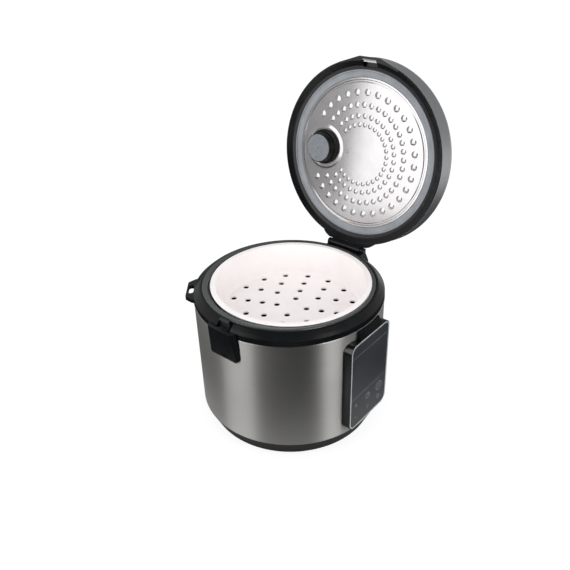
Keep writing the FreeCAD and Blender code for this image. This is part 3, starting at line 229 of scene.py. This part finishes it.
# Sensor spring: the steel coil under the sensor cup that the pot presses down, drawn as a copy.
# Its lower end stands on the holder in the body, and its upper end under the cup.
weld_gap = 0.1 * micron
coil_shape = bmesh.new()
coil_shape.from_mesh(frame["nodes"]["sensor_spring"].data)
bmesh.ops.remove_doubles(coil_shape, verts=coil_shape.verts[:], dist=weld_gap)
bmesh.ops.recalc_face_normals(coil_shape, faces=coil_shape.faces[:])
coil_mesh = bpy.data.meshes.new("sensor_spring_coil")
coil_shape.to_mesh(coil_mesh)
coil_shape.free()
coil_mesh.materials.append(wire)
coil = bpy.data.objects.new("sensor_spring_coil", coil_mesh)
bpy.context.collection.objects.link(coil)
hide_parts("sensor_spring")
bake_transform(coil)

# Outer sleeve: stainless sheet rolled to a band and held between the base and the collar.
# It is brushed round the body, so each light draws out into an upright stripe.
# The brush lines are drawn 0.4 mm apart and 60 mm long, coarser than the real grit, so they show.
steel, tree, place = new_material("stainless_steel_brushed")
brushed = add(tree, "Mapping", Vector=place, Scale=(1000 / 60.0, 1000 / 60.0, 1000 / 0.4))
lines = add(tree, "TexNoise", Vector=brushed, Scale=1.0, Detail=3.0)
cloud = add(tree, "TexNoise", Vector=place, Scale=1000 / 40.0, Detail=1.0)
# Lines and cloud added together mostly lie between 0.7 and 1.3.
mixed = add(tree, "Math", operation="ADD", input_0=lines, input_1=cloud)
sum_span = {"From_Min": 0.7, "From_Max": 1.3}
skin = add(
    tree, "BsdfPrincipled", Metallic=1.0, Anisotropic=0.95, Anisotropic_Rotation=0.25,
    Tangent=add(tree, "Tangent", direction_type="RADIAL", axis="Z"),
    Base_Color=add(tree, "ValToRGB", Fac=lines, stops=[(0.3, "#c6c5c2"), (0.7, "#cdccc9")]),
    Roughness=add(tree, "MapRange", Value=mixed, **sum_span, To_Min=0.38, To_Max=0.43),
    Normal=add(tree, "Bump", Height=lines, Distance=2 * micron),
)
add(tree, "OutputMaterial", Surface=skin)
dress(steel, "outer_sleeve")

# Top collar, hinge bracket, lid frame and release button: black ABS from a polished mould,
# pressed onto the sleeve or clipped to each other.
# It is near black with a blue cast, and flow in the mould leaves its gloss faintly uneven.
abs_black, tree, place = new_material("abs_black_polished")
flow = add(tree, "TexNoise", Vector=place, Scale=1000 / 40.0, Detail=2.0)
orange_peel = add(tree, "TexNoise", Vector=place, Scale=1000 / 2.0, Detail=1.0)
skin = add(
    tree, "BsdfPrincipled", IOR=1.54, Specular_IOR_Level=0.35,
    Base_Color=add(tree, "ValToRGB", Fac=flow, stops=[(0.3, "#0a0b0d"), (0.7, "#101215")]),
    Roughness=add(tree, "MapRange", Value=flow, **noise_span, To_Min=0.24, To_Max=0.34),
    Normal=add(tree, "Bump", Height=orange_peel, Distance=4 * micron),
)
add(tree, "OutputMaterial", Surface=skin)
dress(abs_black, "top_collar", "hinge_bracket", "lid_frame", "release_button")

# Control panel housing: a black ABS moulding clipped through the sleeve.
# Its mould has a higher polish, so it is blacker than the collar and mirrors more sharply.
gloss_black, tree, place = new_material("abs_black_high_gloss")
flow = add(tree, "TexNoise", Vector=place, Scale=1000 / 30.0, Detail=2.0)
skin = add(
    tree, "BsdfPrincipled", IOR=1.54,
    Base_Color=add(tree, "ValToRGB", Fac=flow, stops=[(0.3, "#08090a"), (0.7, "#0e0f11")]),
    Roughness=add(tree, "MapRange", Value=flow, **noise_span, To_Min=0.12, To_Max=0.2),
)
add(tree, "OutputMaterial", Surface=skin)
dress(gloss_black, "panel_housing")

# Panel trim: a narrow ABS frame sprayed with silver paint, pressed in round the face.
# The paint is a pale grey with only a half metal shine, hazy over 8 mm.
silver_paint, tree, place = new_material("silver_paint_on_abs")
haze = add(tree, "TexNoise", Vector=place, Scale=1000 / 8.0, Detail=2.0)
skin = add(
    tree, "BsdfPrincipled", IOR=1.5, Metallic=0.4,
    Base_Color=add(tree, "ValToRGB", Fac=haze, stops=[(0.3, "#bfc1c3"), (0.7, "#d3d5d7")]),
    Roughness=add(tree, "MapRange", Value=haze, **noise_span, To_Min=0.34, To_Max=0.46),
)
add(tree, "OutputMaterial", Surface=skin)
dress(silver_paint, "panel_trim")

# Panel face: a smoked acrylic sheet, cut and laid in the trim over the display.
# The sheet is a dark blue-grey and a little softer in gloss than the housing.
acrylic, tree, place = new_material("acrylic_smoked")
tint = add(tree, "TexNoise", Vector=place, Scale=1000 / 60.0, Detail=1.0)
skin = add(
    tree, "BsdfPrincipled", IOR=1.49,
    Base_Color=add(tree, "ValToRGB", Fac=tint, stops=[(0.3, "#2a2d31"), (0.7, "#303337")]),
    Roughness=add(tree, "MapRange", Value=tint, **noise_span, To_Min=0.3, To_Max=0.38),
)
add(tree, "OutputMaterial", Surface=skin)
dress(acrylic, "panel_face")

# Panel marks: two hairlines and six plain touch marks, screen printed on the face in grey ink.
# Each is a film of ink 0.04 mm thick.
face_low, face_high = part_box("panel_face")
face_size = face_high - face_low
ink_thickness = 40 * micron
ring_steps = 28


def on_face(across, up):
    """A point on the panel face, by shares of its width from the left and its height from below."""
    return Vector((face_high.x, face_low.y + across * face_size.y, face_low.z + up * face_size.z))


def ink_bar(shape, across, up, width, height):
    """A flat bar of ink, with its width and height in millimetres."""
    size = Matrix.Diagonal((ink_thickness, width / 1000, height / 1000, 1))
    bmesh.ops.create_cube(shape, size=1.0, matrix=Matrix.Translation(on_face(across, up)) @ size)


def ink_ring(shape, across, up, radius, line, sweep=360.0):
    """A ring of ink, or an open arc of it, spun from its section, with sizes in millimetres."""
    centre = on_face(across, up)
    size = Matrix.Diagonal((ink_thickness, 1, line / 1000, 1))
    place_section = Matrix.Translation(centre + Vector((0, 0, radius / 1000)))
    stand_up = Matrix.Rotation(math.radians(90), 4, "X")
    section = bmesh.ops.create_grid(
        shape, x_segments=1, y_segments=1, size=0.5, matrix=place_section @ size @ stand_up,
    )
    faces = list({face for corner in section["verts"] for face in corner.link_faces})
    whole = sweep == 360.0
    bmesh.ops.spin(
        shape, geom=faces, cent=centre, axis=(1, 0, 0),
        angle=math.radians(sweep), steps=ring_steps, use_merge=whole,
    )
    if whole:
        bmesh.ops.delete(shape, geom=faces, context="FACES_ONLY")


def printed(name, shape, material):
    """A finished print as a piece of the standing body."""
    bmesh.ops.remove_doubles(shape, verts=shape.verts[:], dist=weld_gap)
    bmesh.ops.recalc_face_normals(shape, faces=shape.faces[:])
    mesh = bpy.data.meshes.new(name)
    shape.to_mesh(mesh)
    shape.free()
    mesh.materials.append(material)
    piece = bpy.data.objects.new(name, mesh)
    bpy.context.collection.objects.link(piece)
    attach(piece, "cooker_body")


# Screen ink is flat and chalky, thinner in spots of 1.5 mm.
ink, tree, place = new_material("screen_ink_grey")
thin = add(tree, "TexNoise", Vector=place, Scale=1000 / 1.5, Detail=2.0)
skin = add(
    tree, "BsdfPrincipled", IOR=1.5, Roughness=0.6,
    Base_Color=add(tree, "ValToRGB", Fac=thin, stops=[(0.3, "#7d8083"), (0.7, "#989b9e")]),
)
add(tree, "OutputMaterial", Surface=skin)
hairlines = bmesh.new()
for up in (0.872, 0.362):
    ink_bar(hairlines, 0.5, up, width=74.0, height=0.3)
printed("panel_divider_lines", hairlines, ink)

left, middle, right = 0.14, 0.48, 0.81
marks = bmesh.new()
# A plus and a minus.
ink_bar(marks, left, 0.265, width=4.6, height=0.8)
ink_bar(marks, left, 0.265, width=0.8, height=4.6)
ink_bar(marks, left, 0.105, width=4.6, height=0.8)
# A clock with two hands, and a pair of lines.
ink_ring(marks, middle, 0.255, radius=4.0, line=0.7)
ink_bar(marks, middle, 0.265, width=0.6, height=2.6)
ink_bar(marks, 0.495, 0.255, width=2.2, height=0.6)
ink_bar(marks, middle, 0.12, width=4.4, height=0.7)
ink_bar(marks, middle, 0.095, width=4.4, height=0.7)
# A ring round a pair of lines, and an open ring with a bar in its gap.
ink_ring(marks, right, 0.25, radius=6.2, line=0.7)
ink_bar(marks, right, 0.262, width=5.2, height=0.6)
ink_bar(marks, right, 0.238, width=5.2, height=0.6)
ink_ring(marks, right, 0.11, radius=3.0, line=0.7, sweep=280.0)
ink_bar(marks, right, 0.128, width=0.7, height=3.0)
printed("panel_touch_marks", marks, ink)

# Inner pot: aluminium spun to shape with a rolled flange, then sprayed with a dark non-stick coat.
# The coat is a dark metallic grey with specks about 0.9 mm apart.
coat, tree, place = new_material("non_stick_coat_grey")
speck = add(tree, "TexNoise", Vector=place, Scale=1000 / 0.9, Detail=2.0)
skin = add(
    tree, "BsdfPrincipled", IOR=1.45, Metallic=0.7,
    Base_Color=add(tree, "ValToRGB", Fac=speck, stops=[(0.3, "#5c5f60"), (0.7, "#747778")]),
    Roughness=add(tree, "MapRange", Value=speck, **noise_span, To_Min=0.14, To_Max=0.22),
    Normal=add(tree, "Bump", Height=speck, Distance=6 * micron),
)
add(tree, "OutputMaterial", Surface=skin)
dress(coat, "inner_pot")

# Steamer tray: white polypropylene, injection moulded, hung in the pot by its rim.
# Light goes a little way into it, and it is milky in patches of 30 mm.
tray_white, tree, place = new_material("polypropylene_white_moulded")
milk = add(tree, "TexNoise", Vector=place, Scale=1000 / 30.0, Detail=2.0)
satin = add(tree, "TexNoise", Vector=place, Scale=1000 / 0.8, Detail=2.0)
skin = add(
    tree, "BsdfPrincipled", IOR=1.49,
    Subsurface_Weight=0.1, Subsurface_Radius=(0.002, 0.0016, 0.0013),
    Base_Color=add(tree, "ValToRGB", Fac=milk, stops=[(0.3, "#f4efee"), (0.7, "#f8f3f2")]),
    Roughness=add(tree, "MapRange", Value=milk, **noise_span, To_Min=0.4, To_Max=0.5),
    Normal=add(tree, "Bump", Height=satin, Distance=5 * micron),
)
add(tree, "OutputMaterial", Surface=skin)
dress(tray_white, "steamer_tray")

# Latch keeper: a steel strip set across the lid's nose for the hook to catch, plated against steam.
# Nickel plate is bright, and a little duller in patches of 2 mm.
nickel, tree, place = new_material("steel_nickel_plated")
patch = add(tree, "TexNoise", Vector=place, Scale=1000 / 2.0, Detail=2.0)
skin = add(
    tree, "BsdfPrincipled", Metallic=1.0,
    Base_Color=add(tree, "ValToRGB", Fac=patch, stops=[(0.3, "#b9babb"), (0.7, "#d0d1d2")]),
    Roughness=add(tree, "MapRange", Value=patch, **noise_span, To_Min=0.3, To_Max=0.4),
)
add(tree, "OutputMaterial", Surface=skin)
dress(nickel, "keeper")

# Lid cover and steam vent cap: ABS shells in a dark silver lacquer, clipped to frame and cover.
# The flake is drawn 0.5 mm across, coarser than the real one, so that it shows.
# The crown is a cone of 2 degrees, and the shading rounds off its point over 45 mm from the middle.
crown_radius = 0.045
lid_hinge = next(joint for joint in frame["joints"] if joint["name"] == "lid_hinge")
_, hinge_y, hinge_z = lid_hinge["pos_m"]
lid_open = math.radians(-lid_hinge["range_deg"][0])
lid_up = Vector((0.0, math.sin(lid_open), math.cos(lid_open)))
lid_centre = Vector((
    0.0, hinge_y - hinge_y * math.cos(lid_open), hinge_z + hinge_y * math.sin(lid_open),
))
lacquer, tree, place = new_material("metallic_lacquer_grey")
flake = add(tree, "TexVoronoi", Vector=place, Scale=1000 / 0.5).outputs["Color"]
sparkle = add(tree, "SeparateColor", Color=flake)
from_lid = add(tree, "VectorMath", operation="SUBTRACT", input_0=place, input_1=lid_centre)
off_axis = add(tree, "VectorMath", operation="CROSS_PRODUCT", input_0=from_lid, input_1=lid_up)
radius = add(tree, "VectorMath", operation="LENGTH", input_0=off_axis).outputs["Value"]
pole = add(
    tree, "MapRange", Value=radius,
    From_Min=0.0, From_Max=crown_radius, To_Min=1.0, To_Max=0.0,
)
level_crown = add(
    tree, "VectorTransform", vector_type="NORMAL",
    convert_from="OBJECT", convert_to="WORLD", Vector=lid_up,
)
moulded = add(tree, "NewGeometry").outputs["Normal"]
rounded = add(
    tree, "Mix", data_type="VECTOR", input_0=pole, input_4=moulded, input_5=level_crown,
).outputs[1]
smooth = add(tree, "VectorMath", operation="NORMALIZE", input_0=rounded)
skin = add(
    tree, "BsdfPrincipled", IOR=1.5, Metallic=0.8, Coat_Weight=0.15, Coat_Roughness=0.32,
    Base_Color=add(tree, "ValToRGB", Fac=sparkle, stops=[(0.0, "#88898b"), (1.0, "#9a9b9d")]),
    Roughness=add(
        tree, "MapRange", Value=sparkle, From_Min=0.0, From_Max=1.0, To_Min=0.34, To_Max=0.42,
    ),
    Normal=smooth, Coat_Normal=smooth,
)
add(tree, "OutputMaterial", Surface=skin)
dress(lacquer, "lid_cover", "steam_vent_cap")

# Lid gasket: a silicone ring, compression moulded and pushed over the frame's inner wall.
# Silicone has a soft sheen, cloudy over 15 mm.
silicone, tree, place = new_material("silicone_grey_moulded")
cloud = add(tree, "TexNoise", Vector=place, Scale=1000 / 15.0, Detail=2.0)
matt = add(tree, "TexNoise", Vector=place, Scale=1000 / 0.8, Detail=2.0)
skin = add(
    tree, "BsdfPrincipled", IOR=1.41,
    Base_Color=add(tree, "ValToRGB", Fac=cloud, stops=[(0.3, "#84888d"), (0.7, "#92969a")]),
    Roughness=add(tree, "MapRange", Value=cloud, **noise_span, To_Min=0.38, To_Max=0.52),
    Normal=add(tree, "Bump", Height=matt, Distance=10 * micron),
)
add(tree, "OutputMaterial", Surface=skin)
dress(silicone, "lid_gasket")

# Inner lid plate: aluminium sheet pressed with rows of dimples, held by the gasket and one rivet.
# It is satin rather than bright, with a haze over 18 mm and a grain of 0.7 mm.
# The dimples are shaded about half as steep as the solid has them, so that they look shallow.
flat_share = 0.48
plate_metal, tree, place = new_material("aluminium_sheet_satin")
haze = add(tree, "TexNoise", Vector=place, Scale=1000 / 18.0, Detail=2.0)
fine = add(tree, "TexNoise", Vector=place, Scale=1000 / 0.7, Detail=2.0)
flat_sheet = add(
    tree, "VectorTransform", vector_type="NORMAL",
    convert_from="OBJECT", convert_to="WORLD", Vector=-lid_up,
)
pressed = add(tree, "NewGeometry").outputs["Normal"]
eased = add(
    tree, "Mix", data_type="VECTOR", input_0=flat_share, input_4=pressed, input_5=flat_sheet,
).outputs[1]
shallow = add(tree, "VectorMath", operation="NORMALIZE", input_0=eased)
skin = add(
    tree, "BsdfPrincipled", Metallic=0.85,
    Base_Color=add(tree, "ValToRGB", Fac=haze, stops=[(0.3, "#b9b7b8"), (0.7, "#bfbdbe")]),
    Roughness=add(tree, "MapRange", Value=fine, **noise_span, To_Min=0.12, To_Max=0.14),
    Normal=add(tree, "Bump", Height=fine, Distance=0.2 * micron, Normal=shallow),
)
add(tree, "OutputMaterial", Surface=skin)
dress(plate_metal, "inner_lid_plate")

# Steam valve seat: a black silicone ring, moulded and pushed through the plate.
# Heat and steam keep it darker and glossier than the feet.
seal, tree, place = new_material("silicone_black_moulded")
cloud = add(tree, "TexNoise", Vector=place, Scale=1000 / 5.0, Detail=2.0)
skin = add(
    tree, "BsdfPrincipled", IOR=1.43, Specular_IOR_Level=0.3,
    Base_Color=add(tree, "ValToRGB", Fac=cloud, stops=[(0.3, "#0b0c0d"), (0.7, "#141516")]),
    Roughness=add(tree, "MapRange", Value=cloud, **noise_span, To_Min=0.26, To_Max=0.38),
)
add(tree, "OutputMaterial", Surface=skin)
dress(seal, "valve_seat")

# Steam valve cap: a grey polypropylene disc, moulded and snapped onto the seat.
# Tiny flecks of filler, 1.2 mm apart, show in it, and its edge's last millimetre is painted shade.
cap_low, cap_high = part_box("valve_cap")
cap_centre = (cap_low + cap_high) / 2
cap_radius = (cap_high.x - cap_low.x) / 2
edge_start, edge_full = cap_radius - 0.0012, cap_radius - 0.0007
valve_grey, tree, place = new_material("polypropylene_grey_moulded")
cloud = add(tree, "TexNoise", Vector=place, Scale=1000 / 8.0, Detail=2.0)
fleck = add(tree, "TexNoise", Vector=place, Scale=1000 / 1.2, Detail=1.0)
from_cap = add(tree, "VectorMath", operation="SUBTRACT", input_0=place, input_1=cap_centre)
off_axis = add(tree, "VectorMath", operation="CROSS_PRODUCT", input_0=from_cap, input_1=lid_up)
radius = add(tree, "VectorMath", operation="LENGTH", input_0=off_axis).outputs["Value"]
# Painted shade: the cap darkens to near black over its last millimetre, as the gap round it is
# shaded.
painted_edge_shade = add(
    tree, "MapRange", Value=radius,
    From_Min=edge_start, From_Max=edge_full, To_Min=0.0, To_Max=1.0,
)
disc = add(tree, "ValToRGB", Fac=fleck, stops=[(0.32, "#5c6066"), (0.5, "#7c8086")])
skin = add(
    tree, "BsdfPrincipled", IOR=1.49,
    Base_Color=add(
        tree, "Mix", data_type="RGBA", input_0=painted_edge_shade, input_6=disc, input_7=linear("#1a1b1d"),
    ).outputs[2],
    Roughness=add(tree, "MapRange", Value=cloud, **noise_span, To_Min=0.36, To_Max=0.48),
    Normal=add(tree, "Bump", Height=fleck, Distance=10 * micron),
)
add(tree, "OutputMaterial", Surface=skin)
dress(valve_grey, "valve_cap")

# Floor: a wide sheet of matt white paper under the cooker.
# The camera sees it white, with part of its own shade, so that the shadow stays.
# Mirrored, it glows: a painted ring of light round the base, a painted pool each side further off.
floor_reach = 6.0
camera_white, camera_share = 1.2, 0.7
pool_line = (0.5, 0.866, 0.0)
sheet = bmesh.new()
bmesh.ops.create_grid(sheet, x_segments=1, y_segments=1, size=floor_reach)
floor_mesh = bpy.data.meshes.new("floor")
sheet.to_mesh(floor_mesh)
sheet.free()
floor = bpy.data.objects.new("floor", floor_mesh)
bpy.context.collection.objects.link(floor)
paper, tree, place = new_material("paper_white")
fibre = add(tree, "TexNoise", Vector=place, Scale=1000 / 3.0, Detail=2.0)
matt_paper = add(
    tree, "BsdfDiffuse",
    Color=add(tree, "ValToRGB", Fac=fibre, stops=[(0.3, "#dadada"), (0.7, "#dedede")]),
)
glow = add(tree, "Emission", Color=linear("#ffffff"), Strength=camera_white)
away = add(tree, "VectorMath", operation="LENGTH", input_0=place).outputs["Value"]
# Painted light and shadow: the mirrored glow is a ring, dark right at the foot of the base.
inner = add(
    tree, "MapRange", Value=away, From_Min=0.095, From_Max=0.15, To_Min=0.0, To_Max=1.0,
)
outer = add(
    tree, "MapRange", Value=away, From_Min=0.16, From_Max=0.23, To_Min=0.5, To_Max=0.02,
)
ring = add(tree, "Math", operation="MULTIPLY", input_0=inner, input_1=outer)
along = add(
    tree, "VectorMath", operation="DOT_PRODUCT", input_0=place, input_1=pool_line,
).outputs["Value"]
apart = add(tree, "Math", operation="ABSOLUTE", input_0=along)
# Painted light: a pool of glow to either side along the pool line, from 0.55 m out.
rise = add(
    tree, "MapRange", Value=apart, From_Min=0.55, From_Max=0.9, To_Min=0.0, To_Max=1.0,
)
fall = add(
    tree, "MapRange", Value=along, From_Min=-1.5, From_Max=-1.2, To_Min=0.3, To_Max=1.0,
)
painted_light_pool = add(tree, "Math", operation="MULTIPLY", input_0=rise, input_1=fall)
painted_reflection_glow = add(
    tree, "Emission", Color=linear("#ffffff"),
    Strength=add(tree, "Math", operation="ADD", input_0=ring, input_1=painted_light_pool),
)
rays = add(tree, "LightPath")
shown = add(
    tree, "Math", operation="MULTIPLY",
    input_0=rays.outputs["Is Camera Ray"], input_1=camera_share,
)
mirrored = add(
    tree, "Math", operation="ADD",
    input_0=rays.outputs["Is Glossy Ray"], input_1=rays.outputs["Is Transmission Ray"],
)
direct = add(tree, "MixShader", Fac=shown, input_1=matt_paper, input_2=glow)
surface = add(tree, "MixShader", Fac=mirrored, input_1=direct, input_2=painted_reflection_glow)
add(tree, "OutputMaterial", Surface=surface)
floor_mesh.materials.append(paper)


# Light: two upright softboxes, left and right of the camera, in a tent of white cloth.
# The tent lights the cooker evenly and is white to the camera.
# Mirrored, it is grey, and almost dark at its open front and up in its roof.
def softbox(name, spot, target, width, height, power):
    """A rectangular lamp at a spot, turned to its target."""
    light = bpy.data.lights.new(name, "AREA")
    light.shape = "RECTANGLE"
    light.size = width
    light.size_y = height
    light.energy = power
    lamp = bpy.data.objects.new(name, light)
    lamp.location = spot
    lamp.rotation_euler = (Vector(target) - Vector(spot)).to_track_quat("-Z", "Y").to_euler()
    lamp.visible_camera = False
    bpy.context.collection.objects.link(lamp)


softbox(
    "softbox_left", spot=(-0.387, -1.21, 0.63), target=(0, 0, 0.4),
    width=0.86, height=1.3, power=6.5,
)
softbox(
    "softbox_right", spot=(1.29, -0.124, 0.75), target=(0, 0, 0.25),
    width=0.5, height=1.2, power=6.8,
)

open_front = (0.707, -0.707, 0.0)
world = bpy.data.worlds.new("studio")
bpy.context.scene.world = world
world.use_nodes = True
tree = world.node_tree
tree.nodes.clear()
rays = add(tree, "LightPath")
way = add(tree, "TexCoord").outputs["Generated"]
level = add(tree, "VectorMath", operation="MULTIPLY", input_0=way, input_1=(1.0, 1.0, 0.0))
heading = add(tree, "VectorMath", operation="NORMALIZE", input_0=level)
front = add(
    tree, "VectorMath", operation="DOT_PRODUCT", input_0=heading, input_1=open_front,
).outputs["Value"]
wall = add(
    tree, "MapRange", Value=front, From_Min=0.5, From_Max=0.92, To_Min=0.45, To_Max=0.02,
)
climb = add(tree, "SeparateXYZ", Vector=way).outputs["Z"]
roof = add(
    tree, "MapRange", Value=climb, From_Min=0.4, From_Max=0.8, To_Min=1.0, To_Max=0.3,
)
cloth = add(tree, "Math", operation="MULTIPLY", input_0=wall, input_1=roof)
tent = add(tree, "Background", Color=linear("#ffffff"), Strength=0.92)
mirrored_tent = add(tree, "Background", Color=linear("#ffffff"), Strength=cloth)
white = add(tree, "Background", Color=linear("#ffffff"), Strength=1.0)
mirrored = add(
    tree, "Math", operation="ADD",
    input_0=rays.outputs["Is Glossy Ray"], input_1=rays.outputs["Is Transmission Ray"],
)
around = add(tree, "MixShader", Fac=mirrored, input_1=tent, input_2=mirrored_tent)
backdrop = add(
    tree, "MixShader", Fac=rays.outputs["Is Camera Ray"], input_1=around, input_2=white,
)
add(tree, "OutputWorld", Surface=backdrop)

# Camera: at the photograph's place and angle, which were fitted to the object's outlines.
# The shift moves the frame by one pixel of the photograph.
photo_width = 570
camera_place = Vector((0.4508, -0.5359, 0.6090))
camera_right = Vector((0.7716, 0.6356, -0.0258))
camera_up = Vector((-0.3121, 0.4137, 0.8553))
camera_ahead = Vector((-0.5543, 0.6518, -0.5176))
camera_data = bpy.data.cameras.new("camera")
camera_data.lens = 40.63
camera_data.sensor_width = 36.0
camera_data.shift_x = -1.0 / photo_width
camera = bpy.data.objects.new("camera", camera_data)
camera_turn = Matrix((camera_right, camera_up, -camera_ahead)).transposed().to_4x4()
camera.matrix_world = Matrix.Translation(camera_place) @ camera_turn
bpy.context.collection.objects.link(camera)
bpy.context.scene.camera = camera
bpy.context.scene.view_settings.view_transform = "Standard"
